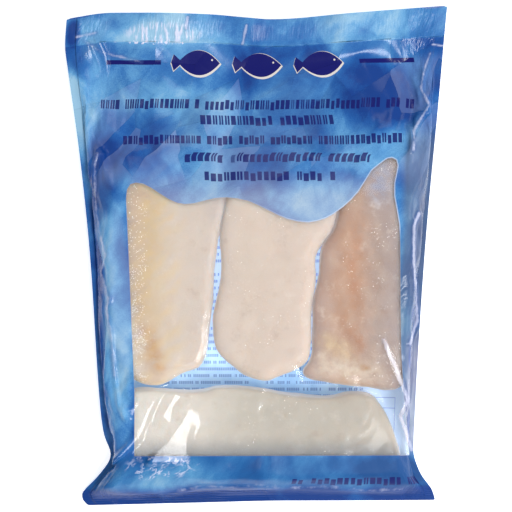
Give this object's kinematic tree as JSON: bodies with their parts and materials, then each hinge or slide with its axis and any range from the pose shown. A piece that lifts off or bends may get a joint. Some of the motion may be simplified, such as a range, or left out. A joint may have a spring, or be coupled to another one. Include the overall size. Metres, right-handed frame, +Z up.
{
  "type": "bag of frozen cod fillets",
  "caption": "Sealed pillow bag of blue printed film with a clear window, holding frozen cod fillets, lying on its back with flat heat seals all round.",
  "frame": {"origin": "on the table under the middle of the lying bag's box", "axes": "+X to the right across the printed front, +Y up the bag towards its top seal, +Z up out of the printed front"},
  "size_m": [0.2391, 0.3131, 0.0341],
  "materials": {
    "printed_film": "glossy film, printed in cloudy blues, with a clear window in the front",
    "cod_flesh": "frozen glazed cod flesh, cream to peach, with frost"
  },
  "bodies": {
    "root": {"bag": "printed_film"}
  },
  "joints": []
}
